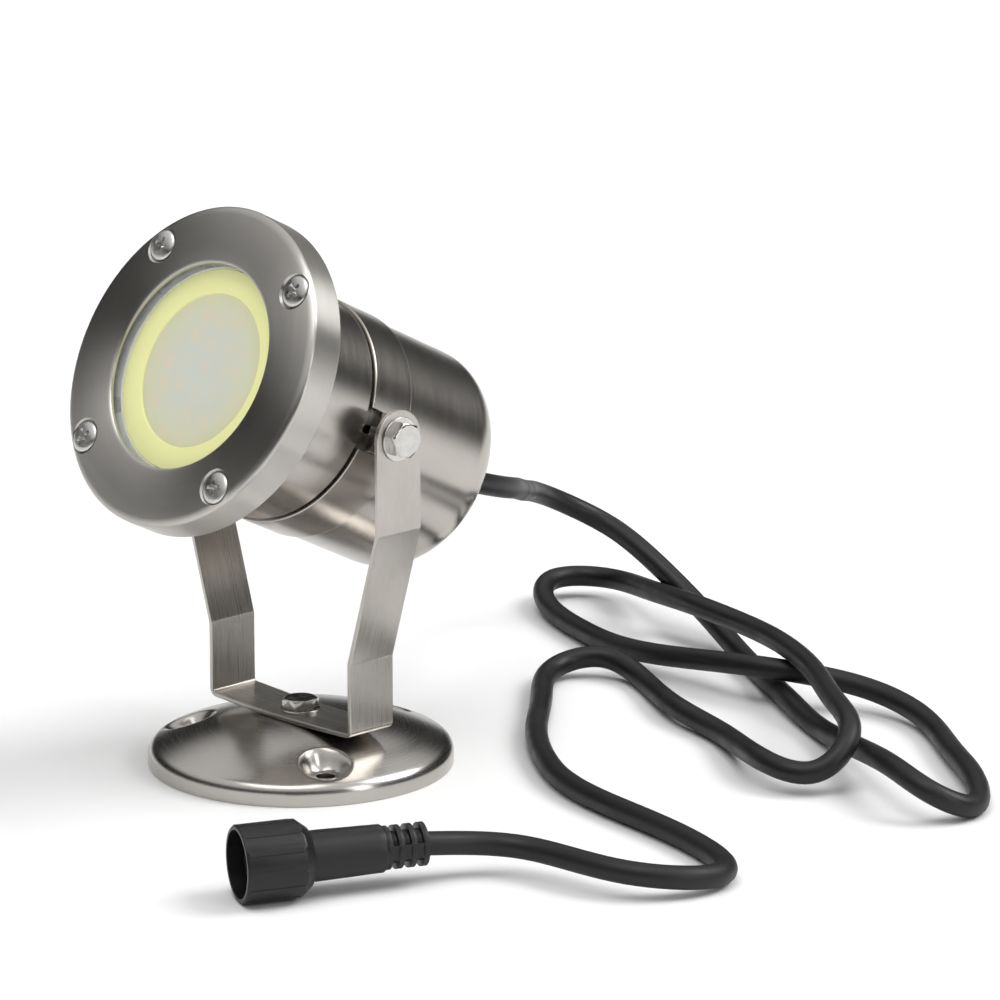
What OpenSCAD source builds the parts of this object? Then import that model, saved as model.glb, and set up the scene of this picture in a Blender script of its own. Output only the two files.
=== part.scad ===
/* [Base] */
// Outer diameter of the domed base plate
base_d = 75; // [70:1:82]
// Height of the dome's flat top above the ground
dome_h = 11.8; // [11.5:0.1:12.5]
// Height of the upright rim of the base plate
rim_h = 2.7; // [2.4:0.1:3]
// Sheet thickness of the base plate
base_t = 1.4; // [1.2:0.1:1.6]
// Diameter of the circle that the three floor screws sit on
floor_pcd = 58; // [56:1:58]
// Diameter of each floor screw hole
floor_hole_d = 5; // [4.5:0.1:5.5]

/* [Bracket] */
// Width of the bracket strap
strap_w = 14; // [12:0.5:15]
// Thickness of the bracket strap
strap_t = 1.2; // [1:0.1:1.4]
// Half of the outside width across the foot of the bracket
foot_half = 25.9; // [25:0.1:27]
// Half of the outside width across the top of the arms
arm_half = 36; // [36:0.1:37]
// Height of the lower bend of the arms
bend_low = 31.2; // [29:0.1:33]
// Height of the upper bend of the arms
bend_high = 64.8; // [62:0.1:66]
// Height of the tilt axis above the ground
pivot_h = 88; // [87:0.5:90]

/* [Lamp head] */
// Tilt of the lamp head above horizontal
tilt = 27; // [26:0.5:28]
// Outer diameter of the front ring
ring_d = 79.5; // [78:0.5:81]
// Diameter of the opening in the front ring
opening_d = 51; // [50.5:0.1:52]
// Distance from the tilt axis to the face of the front ring
face_z = 39; // [38.5:0.1:40]
// Outer diameter of the front barrel
barrel_d = 56.4; // [55:0.2:57]
// Outer diameter of the middle band
band_d = 57.7; // [57.4:0.1:58.2]
// Outer diameter of the rear cup
cup_d = 56; // [55.5:0.1:56.4]
// Distance from the tilt axis to the rear face of the cup
rear_z = 45; // [44:0.5:48]
// Rotation of the four ring screws about the lamp axis
screw_turn = 41; // [35:1:50]

/* [Fasteners] */
// Shank diameter of the pivot bolts and base bolt
bolt_d = 5; // [4.9:0.1:5]
// Width across the flats of the hexagon heads
hex_af = 8; // [8:0.1:9]

/* [Cord and plug] */
// Diameter of the rubber cord
cord_d = 5.6; // [5:0.1:6]
// Height of the plug's axis above the ground
plug_h = 9.2; // [9.2:0.1:10]

/* [Hidden] */

base_r = base_d / 2;
hex_r = hex_af / 2 / cos(30);
bolt_r = bolt_d / 2;
half_w = strap_w / 2;
band_front = 4.2;
band_back = -8.8;
plug_end = [88, -41, plug_h];
// Heading of the plug on the ground
plug_az = -114;

// Route of the cord: control points of a smooth curve, from the gland to the plug
route = [
    // out of the gland and down to the ground behind the lamp
    [0, 47, 64], [-1, 70.5, 56], [-18, 90.5, 49.5], [-31, 106, 43], [-52, 129.5, 35.5],
    [-45, 148.5, 25], [-28.5, 146.5, 21], [-9, 151, 6.5], [17, 137.5, 3], [34.5, 128, 2.5],
    // the far bend, and back over the first run
    [61.5, 111, 4.5], [75, 106, 1], [122.5, 78, 11.5], [139.5, 71.5, 9], [147.5, 85, 1],
    [132.5, 100, 4.5], [110, 114.5, 3], [89.5, 131, 3], [65, 134, 6], [47.5, 112, 11.5],
    [19, 115.5, 6.5], [-4.5, 115, 4], [-29, 123.5, 3], [-50.5, 131.5, 3],
    // the back bend, and forward over both runs
    [-65, 145, 6.5], [-54, 162.5, 4.5], [-27.5, 148, 9], [3.5, 132.5, 15], [21, 132.5, 13.5],
    [46.5, 122.5, 15.5], [69, 111.5, 14.5], [88, 95.5, 15], [110.5, 82.5, 15.5], [108, 70.5, 3],
    // round behind the base, the last bend, and to the plug
    [94, 63, 8], [61, 87.5, 1.5], [43, 86, 5], [14.5, 106, 1], [-1, 106.5, 7],
    [-10, 91, 2.5], [12, 71.5, 3], [26.5, 53.5, 3], [47, 37, 3], [67.5, 25.5, 3],
    [94.5, 22, 3], [115.5, 19, 3], [145.5, 9, 2.5], [131.5, -21.5, 7], [96.5, -16, 6],
    plug_end
];

// ---------- shapes shared by several parts ----------

// Points of an arc about c from angle a to angle b
function arc(c, r, a, b, n) = [for (i = [0:n]) c + r * [cos(a + (b - a) * i / n), sin(a + (b - a) * i / n)]];

// A turned part from a profile of [radius, height] points
module turned(points, fn = 96) {
    rotate_extrude($fn = fn) polygon(points);
}

// A flat ring between two radii
module ring(r_out, r_in, z0, z1, fn = 72) {
    difference() {
        translate([0, 0, z0]) cylinder(r = r_out, h = z1 - z0, $fn = fn);
        translate([0, 0, z0 - 1]) cylinder(r = r_in, h = z1 - z0 + 2, $fn = fn);
    }
}

// Places its children in the lamp's own frame: +Z out of the lens, origin on the tilt axis
module lamp_frame() {
    translate([0, 0, pivot_h]) rotate([90 - tilt, 0, 0]) children();
}

// Places its children in the plug's frame: +Z along the plug from the cord to the open end
module plug_frame() {
    translate(plug_end) rotate([0, 0, plug_az]) rotate([0, 90, 0]) children();
}

// Places its children at both pivots, with +Z pointing outwards
module both_pivots() {
    translate([0, 0, pivot_h]) rotate([0, 90, 0]) children();
    translate([0, 0, pivot_h]) rotate([0, -90, 0]) children();
}

// Hexagon bolt head with a chamfered top, standing on z = 0
module hex_head(h) {
    intersection() {
        cylinder(r = hex_r, h = h, $fn = 6);
        turned([[0, 0], [hex_r, 0], [hex_r, h - 0.5], [hex_af / 2 - 0.2, h], [0, h]], 48);
    }
}

// ---------- base ----------

// Dome height at radius r
dome_r0 = 6;
dome_r1 = base_r - 1.87;
// Height at which the dome meets the rounded shoulder
edge_z = rim_h + 2.91;
function dome(r) = r <= dome_r0 ? dome_h :
    dome_h - (dome_h - edge_z) * pow((r - dome_r0) / (dome_r1 - dome_r0), 2.2);
dome_steps = 12;
dome_top = [for (i = [0:dome_steps]) let (r = dome_r0 + (dome_r1 - dome_r0) * i / dome_steps) [r, dome(r)]];
dome_under = [for (i = [dome_steps:-1:0]) let (r = dome_r0 + (dome_r1 - 0.6 - dome_r0) * i / dome_steps) [r - 0.3, dome(r) - base_t]];

// Middle of the sheet, which the screw dimples grow out of
dome_mid = [for (i = [dome_steps:-1:0]) let (r = 12 + (34.2 - 12) * i / dome_steps) [r, dome(r) - base_t / 2]];

module base_plate() {
    color("silver") difference() {
        union() {
            turned(concat([[bolt_r + 0.05, dome_h]], dome_top,
                arc([base_r - 3.2, rim_h], 3.2, 58, 0, 6),
                [[base_r, 0.2], [base_r - 0.2, 0], [base_r - base_t, 0], [base_r - base_t, rim_h - 0.3]],
                dome_under, [[bolt_r + 0.05, dome_h - base_t]]));
            for (a = [-30, 90, 210]) rotate([0, 0, a]) intersection() {
                translate([floor_pcd / 2, 0, 3.7]) cylinder(r = 6.4, h = 8, $fn = 48);
                turned(concat([[12, 1]], [[34.2, 1]], dome_mid), 96);
            }
        }
        for (a = [-30, 90, 210]) rotate([0, 0, a]) translate([floor_pcd / 2, 0, 0]) {
            translate([0, 0, -1]) cylinder(r = floor_hole_d / 2, h = 20, $fn = 48);
            translate([0, 0, 5]) cylinder(r1 = floor_hole_d / 2 + 0.5, r2 = 8.6, h = 7, $fn = 48);
        }
    }
}

// Top of the bracket's foot under the washer
foot_top = dome_h + 0.16 + strap_t;

module base_bolt() {
    color("gainsboro") {
        translate([0, 0, foot_top + 0.6]) hex_head(2.5);
        translate([0, 0, 5.5]) cylinder(r = bolt_r - 0.02, h = foot_top + 0.9 - 5.5, $fn = 48);
    }
}

module base_washers() {
    color("silver") translate([0, 0, foot_top]) difference() {
        ring(4.9, bolt_r + 0.02, 0, 0.6, 48);
        rotate([0, 0, 200]) translate([2, -0.25, -1]) cube([4, 0.5, 3]);
    }
}

module base_nut() {
    color("silver") translate([0, 0, dome_h - base_t - 4]) difference() {
        cylinder(r = hex_r, h = 4, $fn = 6);
        translate([0, 0, -1]) cylinder(r = bolt_r, h = 6, $fn = 48);
    }
}

// ---------- bracket ----------

// Underside of the foot at its middle, where the bolt pulls it down, and at its ends
strap_mid = dome_h + 0.1;
foot_z = dome_h + 0.85;
function foot(x) = strap_mid + (foot_z - strap_mid) * pow(x / (foot_half - 2), 2);
// Outer and inner edges of one half of the bent strap, seen along Y
strap_outer = concat([for (x = [0, 6, 12, 18]) [x, foot(x)]], arc([foot_half - 2, foot_z + 2], 2, 270, 360, 5),
    [[foot_half, bend_low - 0.8], [foot_half + 0.2, bend_low + 0.8]],
    [[arm_half - 0.2, bend_high - 0.8], [arm_half, bend_high + 0.8], [arm_half, pivot_h]]);
strap_inner = concat([[arm_half - strap_t, pivot_h], [arm_half - strap_t, bend_high + 0.8],
    [arm_half - strap_t - 0.2, bend_high - 0.8], [foot_half - strap_t + 0.2, bend_low + 0.8], [foot_half - strap_t, bend_low - 0.8]],
    arc([foot_half - 2, foot_z + 2], 2 - strap_t, 360, 270, 3), [for (x = [18, 12, 6, 0]) [x, foot(x) + strap_t]]);

module half_strap() {
    rotate([90, 0, 0]) translate([0, 0, -half_w]) linear_extrude(height = strap_w)
        polygon(concat(strap_outer, strap_inner));
    translate([arm_half - strap_t, 0, pivot_h]) rotate([0, 90, 0]) cylinder(r = half_w, h = strap_t, $fn = 64);
}

module bracket() {
    color("lightgray") difference() {
        union() {
            half_strap();
            mirror([1, 0, 0]) half_strap();
        }
        translate([0, 0, strap_mid - 1]) cylinder(r = bolt_r + 0.05, h = 4, $fn = 64);
        translate([-50, 0, pivot_h]) rotate([0, 90, 0]) cylinder(r = bolt_r + 0.05, h = 100, $fn = 64);
    }
}

module pivot_bolts() {
    color("gainsboro") both_pivots() {
        translate([0, 0, arm_half + 0.6]) rotate([0, 0, 12]) hex_head(2.6);
        translate([0, 0, 28]) cylinder(r = bolt_r - 0.02, h = arm_half + 0.9 - 28, $fn = 48);
    }
}

module pivot_washers() {
    color("silver") both_pivots() ring(5.4, bolt_r, arm_half + 0.1, arm_half + 0.6, 48);
}

module friction_washers() {
    color("dimgray") both_pivots() ring(5.1, bolt_r, arm_half - strap_t - 0.9, arm_half - strap_t - 0.1, 48);
}

module pivot_blocks() {
    block_out = arm_half - strap_t - 0.9;
    color("lightgray") lamp_frame() for (s = [0, 180]) rotate([0, 0, s]) difference() {
        translate([24, -5.1, -5]) cube([block_out - 24, 10.2, 7.3]);
        translate([0, 0, -20]) cylinder(r = 26.4, h = 40, $fn = 96);
        translate([20, 0, 0]) rotate([0, 90, 0]) cylinder(r = bolt_r, h = 20, $fn = 48);
    }
}

// ---------- lamp head ----------

ring_r = ring_d / 2;
open_r = opening_d / 2;
screw_r = 35;

module at_ring_screws() {
    for (k = [0:3]) rotate([0, 0, screw_turn + 90 * k]) translate([screw_r, 0, 0]) children();
}

module front_ring() {
    color("silver") lamp_frame() difference() {
        turned(concat([[open_r, face_z - 1.4], [open_r, face_z - 0.3], [open_r + 0.3, face_z]],
            arc([ring_r - 1.5, face_z - 1.5], 1.5, 90, 0, 6),
            [[ring_r, face_z - 9.7], [ring_r - 0.3, face_z - 10], [38.3, face_z - 10], [38.3, 33.3], [31.3, 33.3], [31.3, face_z - 1.4]]));
        at_ring_screws() {
            translate([0, 0, 30]) cylinder(r = 2.2, h = 20, $fn = 48);
            translate([0, 0, face_z - 1.1]) cylinder(r = 4.15, h = 5, $fn = 48);
        }
    }
}

module ring_screws() {
    color("gainsboro") lamp_frame() at_ring_screws() difference() {
        union() {
            translate([0, 0, face_z - 1.1]) turned(concat([[0, 0], [3.8, 0], [3.8, 0.5]], arc([2.6, 0.6], 1.1, 0, 90, 5), [[0, 1.8]]), 48);
            translate([0, 0, 27]) cylinder(r = 1.98, h = face_z - 1.1 - 27 + 0.2, $fn = 32);
        }
        translate([-2.2, -0.5, face_z - 0.4]) cube([4.4, 1, 2]);
        translate([-0.5, -2.2, face_z - 0.4]) cube([1, 4.4, 2]);
    }
}

module front_gasket() {
    color("dimgray") lamp_frame() ring(31, open_r + 0.4, face_z - 1.7, face_z - 1.4, 96);
}

module lens_glass() {
    color("aliceblue", 0.35) lamp_frame() translate([0, 0, face_z - 3.9]) cylinder(r = 31, h = 2.2, $fn = 96);
}

module lens_seal() {
    color("white") lamp_frame() ring(31, 25.3, 33.3, face_z - 3.9, 96);
}

module front_flange() {
    color("silver") lamp_frame() difference() {
        turned([[25.6, 29.6], [25.6, 33.3], [38, 33.3], [38, 29.9], [37.7, 29.6]]);
        at_ring_screws() translate([0, 0, 25]) cylinder(r = 2, h = 10, $fn = 48);
    }
}

module housing() {
    barrel_r = barrel_d / 2;
    color("silver") lamp_frame() difference() {
        turned([[25.6, 29.6], [barrel_r, 29.6], [barrel_r, band_front + 0.75], [barrel_r - 0.2, band_front + 0.55],
            [26.4, band_front + 0.55], [26.4, -12.4], [25.6, -12.4], [25.6, -14.4], [26.4, -14.4], [26.4, -18], [24.4, -18], [24.4, 18], [25.6, 19]]);
        for (s = [0, 180]) rotate([0, 0, s]) translate([20, 0, 0]) rotate([0, 90, 0]) cylinder(r = bolt_r, h = 20, $fn = 48);
    }
}

module middle_band() {
    color("silver") lamp_frame() difference() {
        turned([[26.5, band_back + 0.2], [band_d / 2 - 0.3, band_back], [band_d / 2, band_back + 0.3], [band_d / 2, band_front - 0.3], [band_d / 2 - 0.3, band_front], [26.5, band_front]]);
        for (s = [0, 180]) rotate([0, 0, s]) translate([20, -5.25, -5.1]) cube([20, 10.5, 12]);
    }
}

module rear_cup() {
    cup_r = cup_d / 2;
    color("silver") lamp_frame() turned(concat([[26.5, band_back - 0.1], [cup_r - 0.2, band_back - 0.1], [cup_r, band_back - 0.3]],
        arc([cup_r - 9.2, -rear_z + 9.2], 9.2, 0, -90, 12), [[6.05, -rear_z], [6.05, -rear_z + 1.8]],
        arc([cup_r - 9.2, -rear_z + 9.2], 7.4, -90, 0, 8), [[26.5, -rear_z + 12]]));
}

module housing_o_ring() {
    color("black") lamp_frame() ring(26.45, 25.65, -14.3, -12.5, 72);
}

module gland_body() {
    color("dimgray") lamp_frame() {
        difference() {
            union() {
                translate([0, 0, -rear_z - 3.5]) cylinder(r = 8.2, h = 3.5, $fn = 6);
                translate([0, 0, -rear_z - 0.1]) cylinder(r = 6, h = 9.1, $fn = 48);
            }
            translate([0, 0, -rear_z - 5]) cylinder(r = 4.5, h = 20, $fn = 48);
        }
    }
}

module gland_locknut() {
    color("dimgray") lamp_frame() translate([0, 0, -rear_z + 1.8]) difference() {
        cylinder(r = 9, h = 3, $fn = 6);
        translate([0, 0, -1]) cylinder(r = 6, h = 6, $fn = 48);
    }
}

module gland_nut() {
    color("black") lamp_frame() difference() {
        translate([0, 0, -rear_z - 8]) turned([[cord_d / 2 + 0.05, 0], [5.4, 0], [6.6, 0.6], [7.2, 1.8], [7.2, 4.4], [4.5, 4.4], [4.5, 1.4], [cord_d / 2 + 0.05, 1.4]], 64);
        for (a = [0:30:330]) rotate([0, 0, a]) translate([7.4, 0, -rear_z - 7]) cylinder(r = 0.5, h = 5, $fn = 16);
    }
}

module gland_seal() {
    color("darkslategray") lamp_frame() ring(4.45, cord_d / 2 + 0.02, -rear_z - 6.5, -rear_z - 0.5, 48);
}

module lead_end() {
    color("black") lamp_frame() translate([0, 0, -rear_z - 7.7]) cylinder(r = cord_d / 2, h = 14.7, $fn = 48);
}

module core_leads() {
    color("firebrick") lamp_frame() for (s = [-1, 1])
        translate([s * 1.3, 0, -rear_z + 7]) rotate([0, s * 4.8, 0]) cylinder(r = 0.9, h = 17.7, $fn = 24);
}

// ---------- the lamp inside the head ----------

module lamp_rim() {
    color("khaki") lamp_frame() turned([[19.1, 34.8], [24.9, 34.8], [25.1, 34.6], [25.1, 33.3], [19.1, 33.3]]);
}

module lamp_diffuser() {
    color("lightyellow") lamp_frame() turned([[0, 35], [12, 34.9], [17, 34.8], [19, 34.6], [19, 33.5], [0, 33.5]]);
}

module led_board() {
    color("white") lamp_frame() translate([0, 0, 26.1]) cylinder(r = 18.6, h = 1.2, $fn = 72);
}

module leds() {
    color("orange") lamp_frame() for (ringi = [[0, 1], [6.5, 6], [12.8, 11]]) for (k = [0:ringi[1] - 1])
        rotate([0, 0, 360 / ringi[1] * k + ringi[0] * 3]) translate([ringi[0] - 1.2, -1.2, 27.3]) cube([2.4, 2.4, 0.7]);
}

module lamp_body() {
    color("whitesmoke") lamp_frame() turned([[0, 26.1], [18.7, 26.1], [18.7, 33.2], [25, 33.2], [25, 31.5], [23.6, 30.5], [20.5, 17.9], [15, 6.9], [10.5, -0.1], [10.2, -7.1], [0, -7.1]]);
}

module lamp_pins() {
    color("gold") lamp_frame() for (s = [-1, 1]) translate([s * 2.65, 0, -13.6]) cylinder(r = 0.75, h = 6.5, $fn = 24);
}

module lamp_socket() {
    color("antiquewhite") lamp_frame() difference() {
        translate([-8, -4.5, -20.1]) cube([16, 9, 12.8]);
        for (s = [-1, 1]) translate([s * 2.65, 0, -14.1]) cylinder(r = 0.85, h = 8, $fn = 24);
    }
}

// ---------- cord: a round tube swept along the route ----------

cord_n = 12;
// Point of the smooth curve at parameter t, which runs from 0 to 1 per span
function pad(i) = i < 0 ? 2 * route[0] - route[1] : i >= len(route) ? 2 * route[len(route) - 1] - route[len(route) - 2] : route[i];
function spline(i, t) = (pow(1 - t, 3) * pad(i - 1) + (3 * pow(t, 3) - 6 * t * t + 4) * pad(i)
    + (-3 * pow(t, 3) + 3 * t * t + 3 * t + 1) * pad(i + 1) + pow(t, 3) * pad(i + 2)) / 6;
cord_path = [for (i = [0:len(route) - 2]) for (k = [0, 1]) spline(i, k / 2), route[len(route) - 1]];
function unit(v) = v / norm(v);
function tangent(i) = i == 0 ? unit([0, cos(tilt), -sin(tilt)]) : i == len(cord_path) - 1 ? [cos(plug_az), sin(plug_az), 0] : unit(cord_path[i + 1] - cord_path[i - 1]);
// The ring's first direction is carried from ring to ring, so the tube never twists
function carried(i, u) = let (t = tangent(i)) unit(u - (u * t) * t);
function frames(i, u) = i >= len(cord_path) ? [] : let (v = carried(i, u)) concat([v], frames(i + 1, v));
ups = frames(0, [1, 0, 0]);
cord_points = [for (i = [0:len(cord_path) - 1]) for (k = [0:cord_n - 1])
    let (a = 360 * k / cord_n, u = ups[i], w = cross(tangent(i), u)) cord_path[i] + cord_d / 2 * (cos(a) * u + sin(a) * w)];
cord_last = (len(cord_path) - 1) * cord_n;
cord_faces = concat([[for (k = [0:cord_n - 1]) k]],
    [for (i = [0:len(cord_path) - 2]) for (k = [0:cord_n - 1]) let (a = i * cord_n + k, b = i * cord_n + (k + 1) % cord_n) each [[a, a + cord_n, b + cord_n], [a, b + cord_n, b]]],
    [[for (k = [cord_n - 1:-1:0]) cord_last + k]]);

module cord() {
    color("black") polyhedron(points = cord_points, faces = cord_faces, convexity = 10);
}

// ---------- plug ----------

module plug_relief() {
    color("black") plug_frame() {
        translate([0, 0, 0]) cylinder(r = 3.7, h = 10, $fn = 48);
        for (z = [0, 3, 6]) translate([0, 0, z]) cylinder(r = 5.1, h = 1.3, $fn = 48);
        translate([0, 0, 8.8]) cylinder(r = 5.1, h = 1.2, $fn = 48);
        for (a = [0, 180]) rotate([0, 0, a]) translate([-1.8, 2, 0.2]) cube([3.6, 2.8, 9.6]);
    }
}

module plug_body() {
    color("black") plug_frame() {
        turned([[0, 10], [5.3, 10], [5.6, 10.4], [5.9, 25], [5.95, 30.4], [7.2, 30.4], [7.2, 31.6], [5.6, 31.6], [5.6, 41], [5.3, 41.3], [4.7, 41.3], [4.7, 33.5], [0, 33.5]], 72);
        translate([-1, 4.2, 34]) cube([2, 1, 6.5]);
    }
}

module plug_pins() {
    color("silver") plug_frame() for (s = [-1, 1]) translate([0, s * 2.1, 33.5]) {
        cylinder(r = 0.8, h = 5, $fn = 24);
        translate([0, 0, 5]) cylinder(r1 = 0.8, r2 = 0.4, h = 0.8, $fn = 24);
    }
}

module plug_o_ring() {
    color("orangered") plug_frame() translate([0, 0, 32.5]) rotate_extrude($fn = 64) translate([6.4, 0]) circle(r = 0.8, $fn = 24);
}

module coupling_nut() {
    color("black") plug_frame() difference() {
        union() {
            turned([[6.05, 28], [7, 28], [9, 30.6], [9, 44.2], [8.7, 44.6], [7.9, 44.6], [7.9, 30.2], [6.05, 30.2]]);
            for (a = [0:30:330]) rotate([0, 0, a]) translate([8.6, -0.5, 31]) cube([0.55, 1, 13]);
        }
    }
}

base_plate();
base_bolt();
base_washers();
base_nut();
bracket();
pivot_bolts();
pivot_washers();
friction_washers();
pivot_blocks();
front_ring();
ring_screws();
front_gasket();
lens_glass();
lens_seal();
front_flange();
housing();
middle_band();
rear_cup();
housing_o_ring();
gland_body();
gland_locknut();
gland_nut();
gland_seal();
lead_end();
core_leads();
lamp_rim();
lamp_diffuser();
led_board();
leds();
lamp_body();
lamp_pins();
lamp_socket();
cord();
plug_relief();
plug_body();
plug_pins();
plug_o_ring();
coupling_nut();
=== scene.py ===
import math

import bmesh
import bpy
import numpy as np
from mathutils import Matrix, Vector


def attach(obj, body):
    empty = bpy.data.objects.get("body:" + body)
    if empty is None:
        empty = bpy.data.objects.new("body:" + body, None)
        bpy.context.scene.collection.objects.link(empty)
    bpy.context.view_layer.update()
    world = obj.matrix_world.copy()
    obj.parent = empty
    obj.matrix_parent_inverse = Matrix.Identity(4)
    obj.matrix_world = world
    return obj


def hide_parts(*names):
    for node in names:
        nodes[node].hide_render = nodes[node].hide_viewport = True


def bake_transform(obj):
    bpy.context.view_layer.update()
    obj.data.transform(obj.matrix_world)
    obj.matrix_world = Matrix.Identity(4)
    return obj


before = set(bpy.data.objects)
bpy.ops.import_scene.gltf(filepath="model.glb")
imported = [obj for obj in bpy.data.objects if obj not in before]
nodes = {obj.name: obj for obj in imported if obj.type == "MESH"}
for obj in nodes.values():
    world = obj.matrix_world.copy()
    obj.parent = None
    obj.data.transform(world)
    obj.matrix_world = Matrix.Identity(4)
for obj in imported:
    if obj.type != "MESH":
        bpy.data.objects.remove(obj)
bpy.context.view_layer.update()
scene = bpy.context.scene
MM = 0.001

# ---------------------------------------------------------------- camera
cam_data = bpy.data.cameras.new("camera")
cam = bpy.data.objects.new("camera", cam_data)
scene.collection.objects.link(cam)
cam.location = (0.965835, -0.857361, 0.408650)
aim = Vector((0.033754, 0.035247, 0.066149)) - Vector(cam.location)
cam.rotation_euler = aim.to_track_quat("-Z", "Y").to_euler()
cam_data.sensor_width = 36
cam_data.sensor_height = 36
cam_data.lens = 198.293
cam_data.clip_start = 0.02
cam_data.clip_end = 30
scene.camera = cam

# The lamp's own frame (+Z out of the lens, origin on the tilt axis), the plug's, and the ground's
LAMP = Matrix.Translation((0, 0, 0.088)) @ Matrix.Rotation(math.radians(63), 4, "X")
PLUG = (
    Matrix.Translation((0.088, -0.041, 0.0092))
    @ Matrix.Rotation(math.radians(-114), 4, "Z")
    @ Matrix.Rotation(math.radians(90), 4, "Y")
)
GROUND = Matrix.Identity(4)


# ---------------------------------------------------------------- materials
def nodes_of(name):
    m = bpy.data.materials.new(name)
    m.use_nodes = True
    t = m.node_tree
    return m, t, t.nodes["Principled BSDF"]


def put(t, kind, **values):
    n = t.nodes.new(kind)
    for k, v in values.items():
        if isinstance(getattr(n, k, None), bpy.types.bpy_prop_collection):
            continue
        setattr(n, k, v)
    return n


def ramp(t, source, low, high, to_low, to_high):
    n = t.nodes.new("ShaderNodeMapRange")
    n.inputs["From Min"].default_value = low
    n.inputs["From Max"].default_value = high
    n.inputs["To Min"].default_value = to_low
    n.inputs["To Max"].default_value = to_high
    t.links.new(source, n.inputs["Value"])
    return n.outputs["Result"]


def noise(t, vector, scale, detail=3.0, dims="3D", w=None, rough=0.55):
    n = t.nodes.new("ShaderNodeTexNoise")
    n.noise_dimensions = dims
    n.inputs["Scale"].default_value = scale
    n.inputs["Detail"].default_value = detail
    n.inputs["Roughness"].default_value = rough
    t.links.new(vector, n.inputs["Vector"])
    if w is not None:
        t.links.new(w, n.inputs["W"])
    return n.outputs["Fac"]


def maths(t, op, a, b=None):
    n = t.nodes.new("ShaderNodeMath")
    n.operation = op
    for i, v in enumerate((a, b)):
        if v is None:
            continue
        if isinstance(v, (int, float)):
            n.inputs[i].default_value = v
        else:
            t.links.new(v, n.inputs[i])
    return n.outputs[0]


def colours(t, factor, stops):
    n = t.nodes.new("ShaderNodeValToRGB")
    e = n.color_ramp.elements
    while len(e) < len(stops):
        e.new(0.5)
    for el, (pos, col) in zip(e, stops):
        el.position = pos
        el.color = (*col, 1)
    t.links.new(factor, n.inputs["Fac"])
    return n.outputs["Color"]


def bump(t, height, distance, strength=1.0, under=None):
    n = t.nodes.new("ShaderNodeBump")
    n.inputs["Strength"].default_value = strength
    n.inputs["Distance"].default_value = distance
    t.links.new(height, n.inputs["Height"])
    if under is not None:
        t.links.new(under, n.inputs["Normal"])
    return n.outputs["Normal"]


def turned_streaks(t, coord, fine, around=1.6):
    """Streaks that run round the object's Z axis: fine across them, long along them."""
    sep = t.nodes.new("ShaderNodeSeparateXYZ")
    t.links.new(coord, sep.inputs[0])
    flat = t.nodes.new("ShaderNodeCombineXYZ")
    t.links.new(sep.outputs["X"], flat.inputs["X"])
    t.links.new(sep.outputs["Y"], flat.inputs["Y"])
    length = t.nodes.new("ShaderNodeVectorMath")
    length.operation = "LENGTH"
    t.links.new(flat.outputs[0], length.inputs[0])
    unit = t.nodes.new("ShaderNodeVectorMath")
    unit.operation = "NORMALIZE"
    t.links.new(flat.outputs[0], unit.inputs[0])
    u = t.nodes.new("ShaderNodeSeparateXYZ")
    t.links.new(unit.outputs[0], u.inputs[0])
    vec = t.nodes.new("ShaderNodeCombineXYZ")
    t.links.new(maths(t, "MULTIPLY", u.outputs["X"], around), vec.inputs["X"])
    t.links.new(maths(t, "MULTIPLY", u.outputs["Y"], around), vec.inputs["Y"])
    t.links.new(maths(t, "MULTIPLY", length.outputs["Value"], fine), vec.inputs["Z"])
    w = maths(t, "MULTIPLY", sep.outputs["Z"], fine)
    return vec.outputs[0], w


def steel_turned(name, colour, rough, aniso, fine=9500.0, depth=0.000004, spread=0.05, around=1.6):
    m, t, b = nodes_of(name)
    b.inputs["Metallic"].default_value = 1.0
    b.inputs["Anisotropic"].default_value = aniso
    b.inputs["Anisotropic Rotation"].default_value = 0.25
    tc = t.nodes.new("ShaderNodeTexCoord")
    vec, w = turned_streaks(t, tc.outputs["Object"], fine, around)
    streak = noise(t, vec, 1.0, 3.0, "4D", w)
    cloud = noise(t, tc.outputs["Object"], 55.0, 3.0)
    grain = noise(t, tc.outputs["Object"], 3800.0, 1.0)
    mixed = maths(t, "ADD", maths(t, "MULTIPLY", streak, 0.75), maths(t, "MULTIPLY", grain, 0.25))
    t.links.new(ramp(t, mixed, 0.35, 0.65, rough - spread * 0.6, rough + spread), b.inputs["Roughness"])
    dark = tuple(c * 0.92 for c in colour)
    light = tuple(min(1, c * 1.05) for c in colour)
    tone = maths(t, "ADD", maths(t, "MULTIPLY", cloud, 0.55), maths(t, "MULTIPLY", streak, 0.45))
    t.links.new(colours(t, tone, [(0.30, dark), (0.50, colour), (0.70, light)]), b.inputs["Base Color"])
    t.links.new(bump(t, mixed, depth), b.inputs["Normal"])
    tan = t.nodes.new("ShaderNodeTangent")
    tan.direction_type = "RADIAL"
    tan.axis = "Z"
    t.links.new(tan.outputs[0], b.inputs["Tangent"])
    return m


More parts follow.
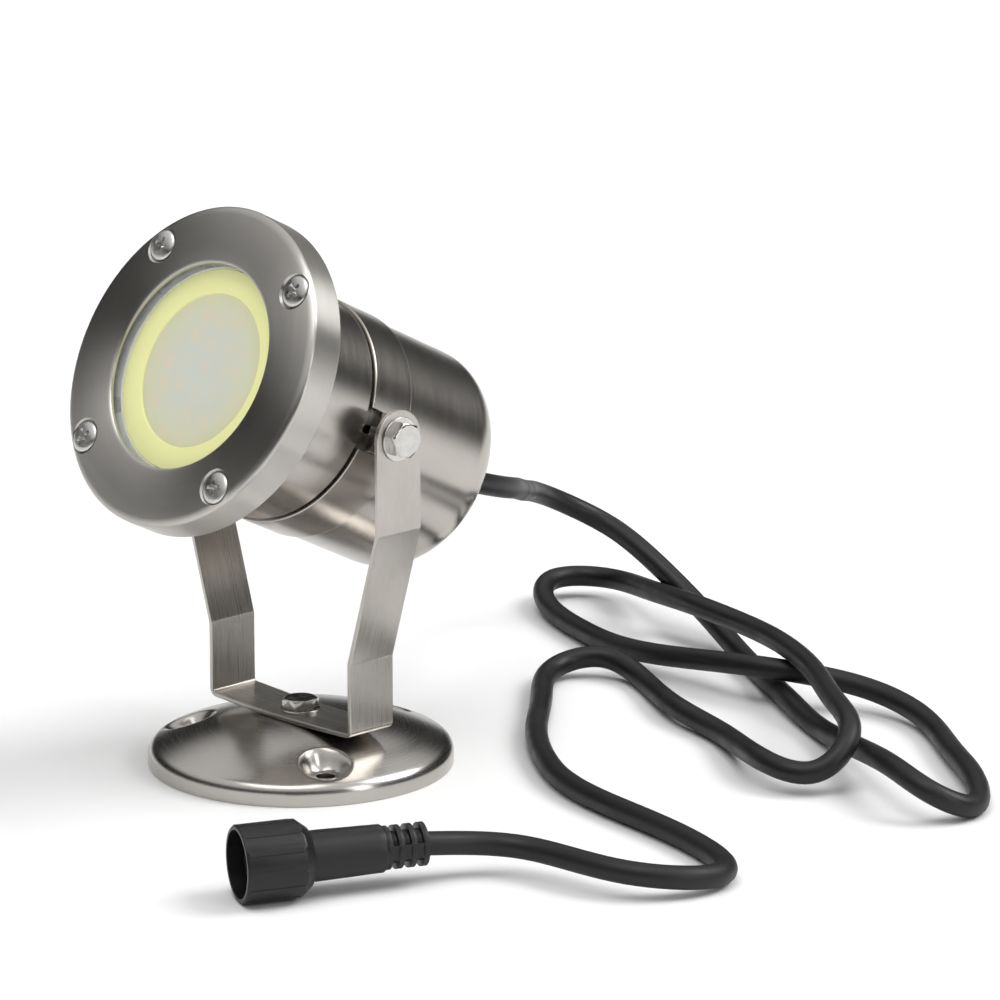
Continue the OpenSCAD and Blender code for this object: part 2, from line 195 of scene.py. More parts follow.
def steel_strip(name, colour, rough, across="Y", fine=8500.0, depth=0.000004):
    m, t, b = nodes_of(name)
    b.inputs["Metallic"].default_value = 1.0
    tc = t.nodes.new("ShaderNodeTexCoord")
    stretch = t.nodes.new("ShaderNodeMapping")
    s = [60.0, 60.0, 60.0]
    s["XYZ".index(across)] = fine
    stretch.inputs["Scale"].default_value = s
    t.links.new(tc.outputs["Object"], stretch.inputs["Vector"])
    streak = noise(t, stretch.outputs[0], 1.0, 3.0)
    cloud = noise(t, tc.outputs["Object"], 60.0, 3.0)
    t.links.new(ramp(t, streak, 0.35, 0.65, rough - 0.04, rough + 0.06), b.inputs["Roughness"])
    dark = tuple(c * 0.86 for c in colour)
    light = tuple(min(1, c * 1.08) for c in colour)
    tone = maths(t, "ADD", maths(t, "MULTIPLY", cloud, 0.6), maths(t, "MULTIPLY", streak, 0.4))
    t.links.new(colours(t, tone, [(0.32, dark), (0.5, colour), (0.68, light)]), b.inputs["Base Color"])
    t.links.new(bump(t, streak, depth), b.inputs["Normal"])
    return m


def steel_bright(name, colour, rough):
    m, t, b = nodes_of(name)
    b.inputs["Metallic"].default_value = 1.0
    tc = t.nodes.new("ShaderNodeTexCoord")
    cloud = noise(t, tc.outputs["Object"], 420.0, 4.0)
    fine = noise(t, tc.outputs["Object"], 4200.0, 2.0)
    t.links.new(ramp(t, cloud, 0.3, 0.7, rough * 0.7, rough * 1.5), b.inputs["Roughness"])
    dark = tuple(c * 0.86 for c in colour)
    t.links.new(colours(t, cloud, [(0.35, dark), (0.6, colour)]), b.inputs["Base Color"])
    t.links.new(bump(t, fine, 0.000006, 0.6), b.inputs["Normal"])
    return m


def matt(name, colour, rough, grain=1500.0, depth=0.00002, spread=0.10, shade=0.75, sheen=0.0, level=0.5):
    m, t, b = nodes_of(name)
    tc = t.nodes.new("ShaderNodeTexCoord")
    cloud = noise(t, tc.outputs["Object"], 90.0, 4.0)
    fine = noise(t, tc.outputs["Object"], grain, 3.0)
    t.links.new(ramp(t, cloud, 0.3, 0.7, rough - spread, rough + spread), b.inputs["Roughness"])
    dark = tuple(c * shade for c in colour)
    t.links.new(colours(t, cloud, [(0.32, dark), (0.62, colour)]), b.inputs["Base Color"])
    t.links.new(bump(t, fine, depth, 0.7), b.inputs["Normal"])
    b.inputs["Specular IOR Level"].default_value = level
    if sheen:
        b.inputs["Sheen Weight"].default_value = sheen
        b.inputs["Sheen Roughness"].default_value = 0.4
    return m


def diffuser_material():
    m, t, b = nodes_of("frosted_diffuser")
    tc = t.nodes.new("ShaderNodeTexCoord")
    sep = t.nodes.new("ShaderNodeSeparateXYZ")
    t.links.new(tc.outputs["Object"], sep.inputs[0])
    flat = t.nodes.new("ShaderNodeCombineXYZ")
    t.links.new(sep.outputs["X"], flat.inputs["X"])
    t.links.new(sep.outputs["Y"], flat.inputs["Y"])
    length = t.nodes.new("ShaderNodeVectorMath")
    length.operation = "LENGTH"
    t.links.new(flat.outputs[0], length.inputs[0])
    rim = ramp(t, length.outputs["Value"], 0.0, 0.0191, 0.0, 1.0)
    base = colours(t, rim, [(0.0, (0.60, 0.63, 0.57)), (0.55, (0.62, 0.64, 0.53)), (0.86, (0.66, 0.66, 0.42)), (1.0, (0.60, 0.61, 0.28))])
    # painted LED glow: soft amber blobs in the base colour stand for light of the LEDs behind the diffuser
    spots = t.nodes.new("ShaderNodeTexVoronoi")
    spots.voronoi_dimensions = "2D"
    spots.inputs["Scale"].default_value = 165.0
    spots.inputs["Randomness"].default_value = 0.35
    t.links.new(flat.outputs[0], spots.inputs["Vector"])
    painted_led_glow = ramp(t, spots.outputs["Distance"], 0.12, 0.52, 1.0, 0.0)
    soft = noise(t, tc.outputs["Object"], 120.0, 2.0)
    painted_led_glow_amount = maths(t, "MULTIPLY", maths(t, "MULTIPLY", painted_led_glow, 0.60), ramp(t, soft, 0.35, 0.65, 0.25, 1.0))
    mix = t.nodes.new("ShaderNodeMix")
    mix.data_type = "RGBA"
    t.links.new(painted_led_glow_amount, mix.inputs["Factor"])
    t.links.new(base, mix.inputs["A"])
    mix.inputs["B"].default_value = (0.80, 0.60, 0.36, 1)
    t.links.new(mix.outputs["Result"], b.inputs["Base Color"])
    fine = noise(t, tc.outputs["Object"], 2600.0, 2.0)
    t.links.new(ramp(t, fine, 0.3, 0.7, 0.42, 0.60), b.inputs["Roughness"])
    t.links.new(bump(t, fine, 0.00001, 0.5), b.inputs["Normal"])
    return m


def glass_material():
    m, t, b = nodes_of("lens_glass")
    b.inputs["Base Color"].default_value = (0.86, 0.92, 0.92, 1)
    b.inputs["Alpha"].default_value = 0.13
    b.inputs["IOR"].default_value = 1.5
    tc = t.nodes.new("ShaderNodeTexCoord")
    smear = noise(t, tc.outputs["Object"], 70.0, 3.0)
    t.links.new(ramp(t, smear, 0.3, 0.7, 0.02, 0.09), b.inputs["Roughness"])
    m.use_screen_refraction = False if hasattr(m, "use_screen_refraction") else None
    return m


STEEL = (0.47, 0.455, 0.43)
mat_ring = steel_turned("ring_steel", (0.53, 0.51, 0.48), 0.31, 0.90, fine=10500.0, around=1.2)
mat_barrel = steel_turned("barrel_steel", (0.48, 0.455, 0.42), 0.22, 0.60, fine=9000.0, depth=0.000003)
mat_base = steel_turned("base_steel", (0.48, 0.46, 0.43), 0.23, 0.45, fine=9000.0, depth=0.000003)
mat_strap = steel_strip("strap_steel_satin", (0.49, 0.465, 0.43), 0.29, fine=13000.0, depth=0.000002)
mat_bright = steel_bright("fastener_steel", (0.62, 0.605, 0.58), 0.16)
mat_screw = steel_bright("screw_steel", (0.66, 0.65, 0.63), 0.30)
mat_rubber = matt("cord_rubber_black", (0.010, 0.010, 0.011), 0.46, grain=2600.0, depth=0.00002, level=0.36)
mat_plug = matt("plug_plastic_black", (0.008, 0.008, 0.009), 0.40, grain=2200.0, depth=0.00003, level=0.38)
mat_seal = matt("seal_rubber_black", (0.018, 0.018, 0.018), 0.6, grain=1800.0)
mat_nylon = matt("nylon_grey", (0.10, 0.10, 0.10), 0.5)
mat_white = matt("silicone_white", (0.86, 0.86, 0.85), 0.45, shade=0.95)
mat_yellow = matt("lamp_rim_yellow", (0.93, 0.92, 0.34), 0.42, shade=0.98, grain=2400.0, depth=0.000008)
# painted glow: the yellow rim ring is no lamp; a faint emission lifts it against the shade of its recess
painted_glow = mat_yellow.node_tree.nodes["Principled BSDF"]
painted_glow.inputs["Emission Color"].default_value = (0.95, 0.95, 0.38, 1)
painted_glow.inputs["Emission Strength"].default_value = 0.20
mat_body = matt("lamp_body_white", (0.82, 0.82, 0.80), 0.4, shade=0.95)
mat_board = matt("board_white", (0.80, 0.82, 0.80), 0.35, shade=0.93)
mat_led = matt("led_amber", (0.90, 0.62, 0.22), 0.35, shade=0.9)
mat_ceramic = matt("socket_ceramic", (0.84, 0.80, 0.72), 0.25, shade=0.94)
mat_lead = matt("lead_insulation_red", (0.36, 0.05, 0.035), 0.4, shade=0.85)
mat_diffuser = diffuser_material()
# painted glow: a faint emission makes the frosted diffuser brighter and less shaded in its recess
painted_glow = mat_diffuser.node_tree.nodes["Principled BSDF"]
painted_glow.inputs["Emission Color"].default_value = (0.85, 0.82, 0.68, 1)
painted_glow.inputs["Emission Strength"].default_value = 0.14
mat_glass = glass_material()


# ---------------------------------------------------------------- mesh making
def tidy(ob, sharp=32):
    me = ob.data
    me.polygons.foreach_set("use_smooth", [True] * len(me.polygons))
    me.set_sharp_from_angle(angle=math.radians(sharp))
    w = ob.modifiers.new("weighted_normals", "WEIGHTED_NORMAL")
    w.keep_sharp = True
    return ob


def raw(name, verts, faces, matrix=GROUND):
    me = bpy.data.meshes.new(name)
    me.from_pydata([tuple(c * MM for c in v) for v in verts], [], faces)
    me.update()
    bm = bmesh.new()
    bm.from_mesh(me)
    bmesh.ops.remove_doubles(bm, verts=bm.verts, dist=1e-7)
    bmesh.ops.recalc_face_normals(bm, faces=bm.faces)
    bm.to_mesh(me)
    bm.free()
    ob = bpy.data.objects.new(name, me)
    scene.collection.objects.link(ob)
    ob.matrix_world = matrix
    return ob


def rounded(points, n=5):
    """Profile points (r, z) or (r, z, fillet radius), with the fillets drawn as arcs."""
    out, m = [], len(points)
    for i, p in enumerate(points):
        rad = p[2] if len(p) > 2 else 0
        P = Vector(p[:2])
        if rad <= 0:
            out.append((P.x, P.y))
            continue
        A, B = Vector(points[i - 1][:2]), Vector(points[(i + 1) % m][:2])
        u, v = (A - P).normalized(), (B - P).normalized()
        ang = u.angle(v)
        d = min(rad / math.tan(ang / 2), 0.49 * (A - P).length, 0.49 * (B - P).length)
        rad = d * math.tan(ang / 2)
        c = P + (u + v).normalized() * (rad / math.sin(ang / 2))
        s, e = P + u * d, P + v * d
        a0 = math.atan2(s.y - c.y, s.x - c.x)
        a1 = math.atan2(e.y - c.y, e.x - c.x)
        da = (a1 - a0 + math.pi) % (2 * math.pi) - math.pi
        for k in range(n + 1):
            a = a0 + da * k / n
            out.append((c.x + rad * math.cos(a), c.y + rad * math.sin(a)))
    return out


def lathe_data(prof, seg, loop=True, start=0, turn=0.0):
    verts, rings, faces = [], [], []
    for r, z in prof:
        if r < 1e-6:
            rings.append([start + len(verts)])
            verts.append((0, 0, z))
        else:
            rings.append([start + len(verts) + k for k in range(seg)])
            for k in range(seg):
                a = 2 * math.pi * k / seg + turn
                verts.append((r * math.cos(a), r * math.sin(a), z))
    n = len(prof)
    for i in range(n if loop else n - 1):
        a, b = rings[i], rings[(i + 1) % n]
        if len(a) == 1 and len(b) == 1:
            continue
        for k in range(seg):
            k2 = (k + 1) % seg
            if len(a) == 1:
                faces.append((a[0], b[k], b[k2]))
            elif len(b) == 1:
                faces.append((a[k], b[0], a[k2]))
            else:
                faces.append((a[k], b[k], b[k2], a[k2]))
    return verts, faces


def lathe(name, points, seg=192, matrix=GROUND, n=5):
    v, f = lathe_data(rounded(points, n), seg)
    return raw(name, v, f, matrix)


def cut(ob, cutter, op="DIFFERENCE"):
    bpy.context.view_layer.update()
    mod = ob.modifiers.new("cut", "BOOLEAN")
    mod.object = cutter
    mod.operation = op
    mod.solver = "EXACT"
    bpy.context.view_layer.update()
    deps = bpy.context.evaluated_depsgraph_get()
    me = bpy.data.meshes.new_from_object(ob.evaluated_get(deps))
    ob.modifiers.remove(mod)
    ob.data = me
    bpy.data.objects.remove(cutter)
    return ob


def joined(name, parts):
    """One object from several, in the first one's frame."""
    bpy.context.view_layer.update()
    inv = parts[0].matrix_world.inverted()
    bm = bmesh.new()
    for p in parts:
        me = p.data.copy()
        me.transform(inv @ p.matrix_world)
        bm.from_mesh(me)
    me = bpy.data.meshes.new(name)
    bm.to_mesh(me)
    bm.free()
    ob = bpy.data.objects.new(name, me)
    scene.collection.objects.link(ob)
    ob.matrix_world = parts[0].matrix_world.copy()
    for p in parts:
        bpy.data.objects.remove(p)
    return ob


def place(ob, body, mat, stands_for=()):
    ob.data.materials.clear()
    ob.data.materials.append(mat)
    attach(ob, body)
    if stands_for:
        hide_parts(*stands_for)
    return ob


def dress(node, mat, bevel=0.0, sharp=32, segments=2):
    """A CAD node keeps its shape, gets its material, and its edges are eased by a modifier."""
    o = nodes[node]
    me = o.data
    if not o.material_slots:
        me.materials.append(mat)
    for s in o.material_slots:
        s.material = mat
    me.polygons.foreach_set("use_smooth", [True] * len(me.polygons))
    w = o.modifiers.new("weld", "WELD")
    w.merge_threshold = 1e-6
    if bevel:
        b = o.modifiers.new("eased", "BEVEL")
        b.width = bevel * MM
        b.segments = segments
        b.limit_method = "ANGLE"
        b.angle_limit = math.radians(38)
        b.use_clamp_overlap = True
        b.miter_outer = "MITER_ARC"
    w = o.modifiers.new("face_normals", "WEIGHTED_NORMAL")
    w.mode = "FACE_AREA"
    w.weight = 90
    return o


# ---------------------------------------------------------------- cord, which comes first
ROUTE = [
    (0, 47, 64), (-1, 70.5, 56), (-18, 90.5, 49.5), (-31, 106, 43), (-52, 129.5, 35.5),
    (-45, 148.5, 25), (-28.5, 146.5, 21), (-9, 151, 6.5), (17, 137.5, 3), (34.5, 128, 2.5),
    (61.5, 111, 4.5), (75, 106, 1), (122.5, 78, 11.5), (139.5, 71.5, 9), (147.5, 85, 1),
    (132.5, 100, 4.5), (110, 114.5, 3), (89.5, 131, 3), (65, 134, 6), (47.5, 112, 11.5),
    (19, 115.5, 6.5), (-4.5, 115, 4), (-29, 123.5, 3), (-50.5, 131.5, 3), (-65, 145, 6.5),
    (-54, 162.5, 4.5), (-27.5, 148, 9), (3.5, 132.5, 15), (21, 132.5, 13.5), (46.5, 122.5, 15.5),
    (69, 111.5, 14.5), (88, 95.5, 15), (110.5, 82.5, 15.5), (108, 70.5, 3), (94, 63, 8),
    (61, 87.5, 1.5), (43, 86, 5), (14.5, 106, 1), (-1, 106.5, 7), (-10, 91, 2.5),
    (12, 71.5, 3), (26.5, 53.5, 3), (47, 37, 3), (67.5, 25.5, 3), (94.5, 22, 3),
    (115.5, 19, 3), (145.5, 9, 2.5), (131.5, -21.5, 7), (96.5, -16, 6), (88, -41, 9.2),
]
CORD_D = 5.6


def smooth_route(points, per_span):
    p = [Vector(q) for q in points]
    p = [2 * p[0] - p[1]] + p + [2 * p[-1] - p[-2]]
    out = []
    for i in range(1, len(p) - 2):
        for k in range(per_span):
            t = k / per_span
            out.append(
                ((1 - t) ** 3 * p[i - 1] + (3 * t**3 - 6 * t * t + 4) * p[i]
                 + (-3 * t**3 + 3 * t * t + 3 * t + 1) * p[i + 1] + t**3 * p[i + 2]) / 6
            )
    out.append(Vector(points[-1]))
    return out


def tube(name, path, radius, sides):
    verts, faces, up = [], [], Vector((1, 0, 0))
    n = len(path)
    for i, c in enumerate(path):
        t = (path[min(i + 1, n - 1)] - path[max(i - 1, 0)]).normalized()
        if i == 0:
            t = (LAMP.to_3x3() @ Vector((0, 0, -1))).normalized()
        up = (up - up.dot(t) * t).normalized()
        side = t.cross(up)
        for k in range(sides):
            a = 2 * math.pi * k / sides
            verts.append(tuple(c + radius * (math.cos(a) * up + math.sin(a) * side)))
    for i in range(n - 1):
        for k in range(sides):
            k2 = (k + 1) % sides
            faces.append((i * sides + k, i * sides + k2, (i + 1) * sides + k2, (i + 1) * sides + k))
    faces.append(tuple(reversed(range(sides))))
    faces.append(tuple((n - 1) * sides + k for k in range(sides)))
    return raw(name, verts, faces)


path = smooth_route(ROUTE, 10)
cord = tube("rubber_cord", path, CORD_D / 2, 20)
tidy(cord, 60)
cord.data.materials.append(mat_rubber)
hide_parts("cord")

# ---------------------------------------------------------------- head: ring, screws, glass, lamp
FACE = 39.0
crown_r, crown_mid = 50.0, 32.2
crown = []
for k in range(15):
    r = 26.3 + (38.6 - 26.3) * k / 14
    crown.append((r, FACE - crown_r + math.sqrt(crown_r**2 - (r - crown_mid) ** 2)))
ring_profile = (
    [(25.5, 37.6), (25.5, 38.35, 0.25)]
    + [(25.75, 38.55)]
    + crown
    + [(39.75, 37.95, 1.0), (39.75, 29.0, 0.45), (38.35, 29.0), (38.35, 33.3), (31.3, 33.3), (31.3, 37.6)]
)
ring = lathe("front_ring_turned", ring_profile, 288, LAMP)
SCREW_TURN = 41.0
for k in range(4):
    at = LAMP @ Matrix.Rotation(math.radians(SCREW_TURN + 90 * k), 4, "Z") @ Matrix.Translation((0.035, 0, 0))
    bore = lathe("bore", [(0, 37.9), (4.15, 37.9), (4.15, 38.45), (4.75, 39.15), (4.75, 41), (0, 41)], 64, at, 3)
    cut(ring, bore)
    bore = lathe("bore", [(0, 30), (2.2, 30), (2.2, 40), (0, 40)], 48, at, 3)
    cut(ring, bore)
tidy(ring, 30)
place(ring, "head", mat_ring, ["front_ring"])

heads = []
for k, twist in enumerate((12, 38, 3, 60)):
    at = (
        LAMP
        @ Matrix.Rotation(math.radians(SCREW_TURN + 90 * k), 4, "Z")
        @ Matrix.Translation((0.035, 0, 0))
        @ Matrix.Rotation(math.radians(twist), 4, "Z")
    )
    dome = [(0, 39.36)] + [(3.8 * math.sin(a) ** 0.9, 38.5 + 0.85 * math.cos(a)) for a in (0.25, 0.5, 0.75, 1.0, 1.2, 1.4)]
    head = lathe("screw", [(0, 27), (1.98, 27), (1.98, 37.9), (3.6, 37.9, 0.1), (3.85, 38.1, 0.1), (3.85, 38.5, 0.15)] + dome[::-1], 72, at, 4)
    for turn in (0, 90):
        slot_v = []
        for z, half, w in ((38.0, 0.9, 0.28), (38.9, 1.85, 0.42), (40.6, 2.7, 0.66)):
            slot_v += [(-half, -w, z), (half, -w, z), (half, w, z), (-half, w, z)]
        slot_f = [(3, 2, 1, 0), (8, 9, 10, 11)]
        for s in (0, 4):
            for j in range(4):
                slot_f.append((s + j, s + (j + 1) % 4, s + 4 + (j + 1) % 4, s + 4 + j))
        cross = raw("cross", slot_v, slot_f, at @ Matrix.Rotation(math.radians(turn), 4, "Z"))
        cut(head, cross)
    middle = lathe("middle", [(0, 37.6), (0.8, 38.2), (1.15, 41), (0, 41)], 24, at, 3)
    cut(head, middle)
    heads.append(head)
screws = joined("ring_screw_set", heads)
tidy(screws, 28)
place(screws, "head", mat_screw, ["ring_screws"])

dress("lens_glass", mat_glass, 0.15)
dress("lens_seal", mat_white, 0.15)
dress("front_gasket", mat_seal, 0.08)

rim = lathe("lamp_rim_ring", [(19.1, 33.3), (25.1, 33.3), (25.1, 34.8, 0.25), (19.35, 34.8, 0.12), (19.1, 34.45)], 192, LAMP, 3)
tidy(rim)
place(rim, "head", mat_yellow, ["lamp_rim"])
disc_profile = [(0, 33.5)] + [(19.0, 33.5), (19.0, 34.35, 0.15)] + [(r, 34.65 - 0.25 * (r / 19.0) ** 2) for r in (18.2, 15, 11, 7, 3)] + [(0, 34.65)]
disc = lathe("lamp_diffuser_disc", disc_profile, 160, LAMP, 3)
tidy(disc)
place(disc, "head", mat_diffuser, ["lamp_diffuser"])

# ---------------------------------------------------------------- head: barrel, band, cup
flange = lathe(
    "front_flange_plate",
    [(25.6, 29.6), (37.6, 29.6), (38, 29.9, 0.2), (38, 33.3), (25.6, 33.3)],
    192, LAMP, 3,
)
tidy(flange)
place(flange, "head", mat_barrel, ["front_flange"])

barrel = lathe(
    "front_barrel",
    [(25.6, 29.6), (28.2, 29.6), (28.2, 4.75, 0.35), (26.4, 4.75), (26.4, -12.4), (25.6, -12.4), (25.6, -14.4),
     (26.4, -14.4), (26.4, -18), (24.4, -18), (24.4, 18), (25.6, 19)],
    256, LAMP, 4,
)
for s in (0, 180):
    at = LAMP @ Matrix.Rotation(math.radians(s), 4, "Z") @ Matrix.Translation((0.02, 0, 0)) @ Matrix.Rotation(math.radians(90), 4, "Y")
    cut(barrel, lathe("bore", [(0, 0), (2.5, 0), (2.5, 20), (0, 20)], 48, at, 3))
tidy(barrel)
place(barrel, "head", mat_barrel, ["housing"])


def box_data(x0, y0, z0, x1, y1, z1):
    v = [(x, y, z) for z in (z0, z1) for x, y in ((x0, y0), (x1, y0), (x1, y1), (x0, y1))]
    return v, [(3, 2, 1, 0), (4, 5, 6, 7), (0, 1, 5, 4), (1, 2, 6, 5), (2, 3, 7, 6), (3, 0, 4, 7)]


band = lathe(
    "middle_band_turned",
    [(26.5, -8.75), (28.85, -8.8, 0.35), (28.85, 4.2, 0.35), (26.5, 4.2)],
    256, LAMP, 4,
)
for s in (0, 180):
    v, f = box_data(20, -5.25, -5.1, 40, 5.25, 6.9)
    cut(band, raw("notch", v, f, LAMP @ Matrix.Rotation(math.radians(s), 4, "Z")))
tidy(band)
place(band, "head", mat_barrel, ["middle_band"])

cup_profile = [(26.5, -8.9), (27.75, -8.9, 0.2), (28.0, -9.15)]
cup_profile += [(28.0, -20)]
for k in range(17):
    a = -math.pi / 2 * k / 16
    cup_profile.append((18.8 + 9.2 * math.cos(a), -35.8 + 9.2 * math.sin(a)))
cup_profile += [(10, -45), (6.05, -45), (6.05, -43.2), (12, -43.2)]
for k in range(13):
    a = -math.pi / 2 * (1 - k / 12)
    cup_profile.append((18.8 + 7.4 * math.cos(a), -35.8 + 7.4 * math.sin(a)))
cup_profile += [(26.5, -33)]
cup = lathe("rear_cup_drawn", cup_profile, 256, LAMP, 4)
tidy(cup)
place(cup, "head", mat_barrel, ["rear_cup"])

dress("pivot_blocks", mat_bright, 0.3)
dress("pivot_bolts", mat_bright, 0.22, segments=3)
dress("pivot_washers", mat_bright, 0.12)
dress("friction_washers", mat_nylon, 0.1)
dress("gland_body", mat_plug, 0.35)
dress("gland_nut", mat_plug, 0.2)
dress("gland_locknut", mat_plug, 0.3)
dress("gland_seal", mat_seal, 0.12)
dress("housing_o_ring", mat_seal, 0.12)
dress("lead_end", mat_rubber, 0.12)
dress("core_leads", mat_lead)
dress("lamp_body", mat_body, 0.12)
dress("led_board", mat_board, 0.12)
dress("leds", mat_led, 0.1)
dress("lamp_pins", mat_bright, 0.12)
dress("lamp_socket", mat_ceramic, 0.3)

# ---------------------------------------------------------------- base
DOME_H, RIM_H, BASE_T = 11.8, 2.7, 1.4
HOLES = [(29 * math.cos(math.radians(a)), 29 * math.sin(math.radians(a))) for a in (-30, 90, 210)]


def dome_z(r):
    if r <= 6:
        return DOME_H
    return DOME_H - (DOME_H - RIM_H - 2.91) * ((r - 6) / 29.63) ** 2.2


def pressed(x, y, z, lower=0.0):
    for hx, hy in HOLES:
        d = math.hypot(x - hx, y - hy)
        if d < 6.9:
            s = min(1, max(0, (d - 3.1) / 3.8))
            s = s * s * (3 - 2 * s)
            z = (5.0 - lower) * (1 - s) + z * s
    return z


def base_mesh():
    seg = 480
    verts, faces = [], []
    top_r = [2.6] + [4 + 1.5 * i for i in range(5)] + [10.5 + 25.13 * i / 110 for i in range(111)]
    rim = [(34.3 + 3.2 * math.cos(math.radians(a)), RIM_H + 3.2 * math.sin(math.radians(a))) for a in range(60, -1, -6)]
    rim += [(37.5, 0.3), (37.43, 0.09), (37.25, 0.0), (36.2, 0.0), (36.1, 0.1), (36.1, 2.4), (34.9, 4.3)]
    under_r = [34.8 - (34.8 - 2.6) * i / 70 for i in range(1, 71)]
    profile = [("top", r) for r in top_r] + [("rim", p) for p in rim] + [("under", r) for r in under_r]
    for kind, p in profile:
        for k in range(seg):
            a = 2 * math.pi * k / seg
            c, s = math.cos(a), math.sin(a)
            if kind == "top":
                verts.append((p * c, p * s, pressed(p * c, p * s, dome_z(p))))
            elif kind == "rim":
                verts.append((p[0] * c, p[0] * s, p[1]))
            else:
                verts.append((p * c, p * s, pressed(p * c, p * s, dome_z(p) - BASE_T, BASE_T)))
    n = len(profile)
    for i in range(n):
        j = (i + 1) % n
        for k in range(seg):
            k2 = (k + 1) % seg
            quad = (i * seg + k, j * seg + k, j * seg + k2, i * seg + k2)
            cx = sum(verts[q][0] for q in quad) / 4
            cy = sum(verts[q][1] for q in quad) / 4
            if any(math.hypot(cx - hx, cy - hy) < 2.75 for hx, hy in HOLES):
                continue
            faces.append(quad)
    return raw("base_dome", verts, faces)


base = base_mesh()
collars = []
for hx, hy in HOLES:
    at = Matrix.Translation((hx * MM, hy * MM, 0))
    collars.append(lathe("collar", [(2.4, 3.1, 0.1), (2.4, 5.1, 0.12), (3.05, 5.08, 0.15), (3.2, 4.85), (3.2, 3.1, 0.1)], 72, at, 4))
base = joined("base_plate_pressed", [base] + collars)
tidy(base, 40)
place(base, "base", mat_base, ["base_plate"])
dress("base_bolt", mat_bright, 0.22, segments=3)
dress("base_washers", mat_bright, 0.12)
dress("base_nut", mat_bright, 0.2)


# ---------------------------------------------------------------- bracket
def strap_mesh():
    T = 1.2
    half = [(0, 11.9), (6, 11.95), (12, 12.09), (18, 12.33), (25.9, 12.65, 2.0), (25.9, 31.2, 2.6), (36.0, 64.8, 2.6), (36.0, 95.0)]
    pts = [Vector((p[0], p[1])) for p in rounded([(-1, 11.9)] + half + [(36.0, 96)], 8)[1:-1]]
    dense = [pts[0]]
    for a, b in zip(pts, pts[1:]):
        steps = max(1, int((b - a).length / (0.35 if b.y > 88 else 2.0)))
        dense += [a + (b - a) * (k + 1) / steps for k in range(steps)]
    right = dense
    whole = [Vector((-p.x, p.y)) for p in reversed(right[1:])] + right
    verts, faces = [], []
    n = len(whole)
    for i, p in enumerate(whole):
        d = (whole[min(i + 1, n - 1)] - whole[max(i - 1, 0)]).normalized()
        normal = Vector((-d.y, d.x))
        w = 7.0
        if p.y > 88:
            w = math.sqrt(max(0.0, 49 - (p.y - 88) ** 2))
        c = min(0.28, 0.28 if w > 0.6 else w * 0.45)
        w = max(w, 0.05)
        section = []
        for sy, sz, a0 in ((1, 0, -90), (1, 1, 0), (-1, 1, 90), (-1, 0, 180)):
            for k in range(4):
                a = math.radians(a0 + 30 * k)
                section.append((sy * (w - c) + c * math.cos(a), (c if sz == 0 else T - c) + c * math.sin(a)))
        for y, h in section:
            q = p + normal * h
            verts.append((q.x, y, q.y))
    m = 16
    for i in range(n - 1):
        for k in range(m):
            k2 = (k + 1) % m
            faces.append((i * m + k, i * m + k2, (i + 1) * m + k2, (i + 1) * m + k))
    faces.append(tuple(range(m)))
    faces.append(tuple((n - 1) * m + k for k in reversed(range(m))))
    return raw("bracket_strip", verts, faces)


strap = strap_mesh()
cut(strap, lathe("bore", [(0, 11), (2.55, 11), (2.55, 16), (0, 16)], 64))
cut(strap, lathe("bore", [(0, -50), (2.55, -50), (2.55, 50), (0, 50)], 64, Matrix.Translation((0, 0, 0.088)) @ Matrix.Rotation(math.radians(90), 4, "Y")))
tidy(strap, 42)
place(strap, "bracket", mat_strap, ["bracket"])

# ---------------------------------------------------------------- plug
dress("plug_relief", mat_plug, 0.25)
dress("plug_body", mat_plug, 0.2)
dress("plug_pins", mat_bright, 0.15)
dress("plug_o_ring", mat_seal)
dress("coupling_nut", mat_plug, 0.2)

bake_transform(cord)

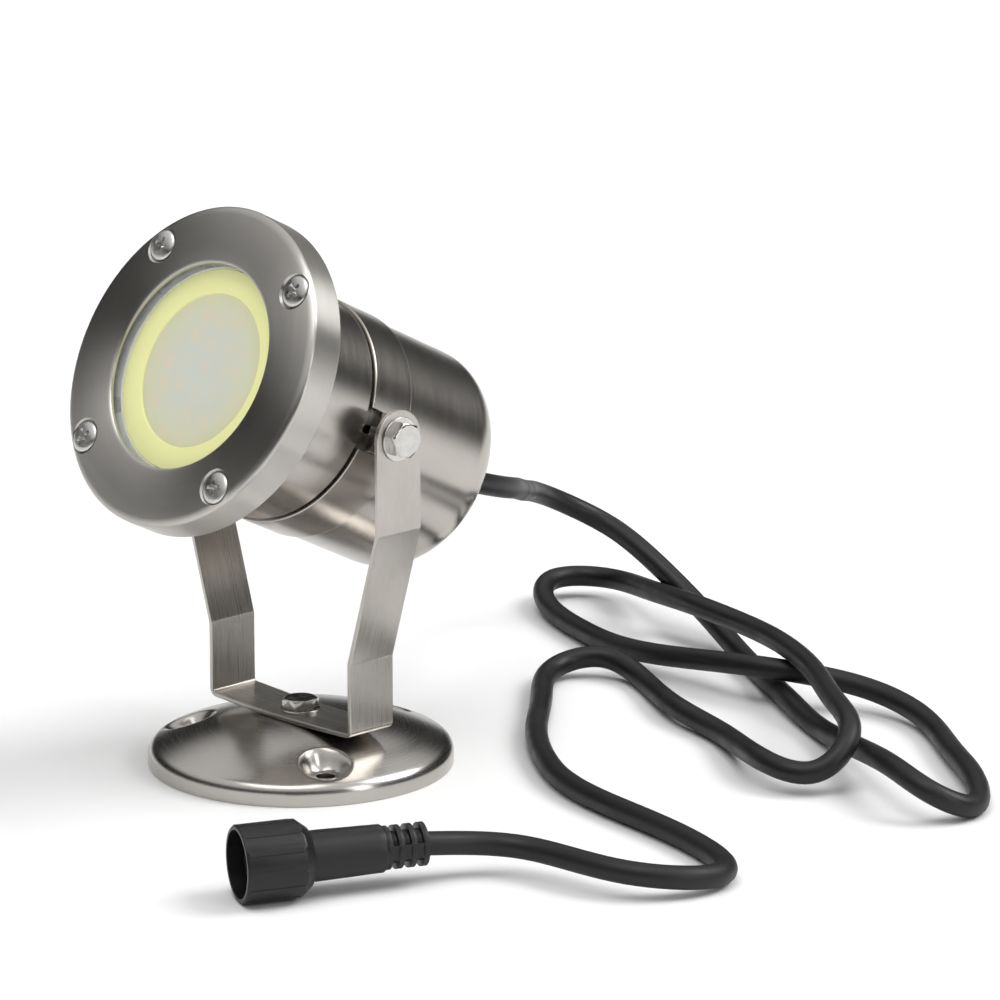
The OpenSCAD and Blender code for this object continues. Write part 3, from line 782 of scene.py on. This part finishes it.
# ---------------------------------------------------------------- floor and light
bm = bmesh.new()
bmesh.ops.create_grid(bm, x_segments=2, y_segments=2, size=6.0)
me = bpy.data.meshes.new("floor")
bm.to_mesh(me)
bm.free()
floor = bpy.data.objects.new("floor", me)
scene.collection.objects.link(floor)
mat_floor, ft, fb = nodes_of("floor_pale")
fb.inputs["Base Color"].default_value = (0.90, 0.90, 0.90, 1)
fb.inputs["Roughness"].default_value = 0.75
fb.inputs["Specular IOR Level"].default_value = 0.15
floor.data.materials.append(mat_floor)

world = bpy.data.worlds.new("studio")
scene.world = world
world.use_nodes = True
wt = world.node_tree
background = wt.nodes["Background"]
tc = wt.nodes.new("ShaderNodeTexCoord")
sep = wt.nodes.new("ShaderNodeSeparateXYZ")
wt.links.new(tc.outputs["Generated"], sep.inputs[0])
sky = colours(
    wt,
    sep.outputs["Z"],
    [(0.0, (0.90, 0.90, 0.90)), (0.045, (0.85, 0.85, 0.85)), (0.09, (0.02, 0.02, 0.02)), (0.40, (0.02, 0.02, 0.02)), (0.58, (1.0, 1.0, 1.0)), (1.0, (1.2, 1.2, 1.2))],
)
wt.links.new(sky, background.inputs["Color"])
background.inputs["Strength"].default_value = 0.75


def softbox(name, at, aim, size_x, size_y, power, colour=(1, 1, 1)):
    d = bpy.data.lights.new(name, "AREA")
    d.shape = "RECTANGLE"
    d.size, d.size_y = size_x, size_y
    d.energy = power
    d.color = colour
    o = bpy.data.objects.new(name, d)
    scene.collection.objects.link(o)
    o.location = at
    o.rotation_euler = (Vector(aim) - Vector(at)).to_track_quat("-Z", "Y").to_euler()
    return o


def far_light(name, source, angle, strength):
    d = bpy.data.lights.new(name, "SUN")
    d.energy = strength
    d.angle = math.radians(angle)
    o = bpy.data.objects.new(name, d)
    scene.collection.objects.link(o)
    o.location = source
    o.rotation_euler = (-Vector(source)).to_track_quat("-Z", "Y").to_euler()
    return o


# The camera looks along (-0.70, 0.67): its right is (0.69, 0.72), and behind the object is (-0.72, 0.69)
far_light("key_right_back", (0.75, 1.05, 1.30), 34, 1.55)
far_light("top_front", (0.15, -0.45, 1.5), 40, 0.8)
softbox("fill_right", (1.3, 0.1, 0.5), (0, 0, 0.07), 0.30, 0.8, 3)

scene.view_settings.view_transform = "Standard"
scene.view_settings.look = "None"
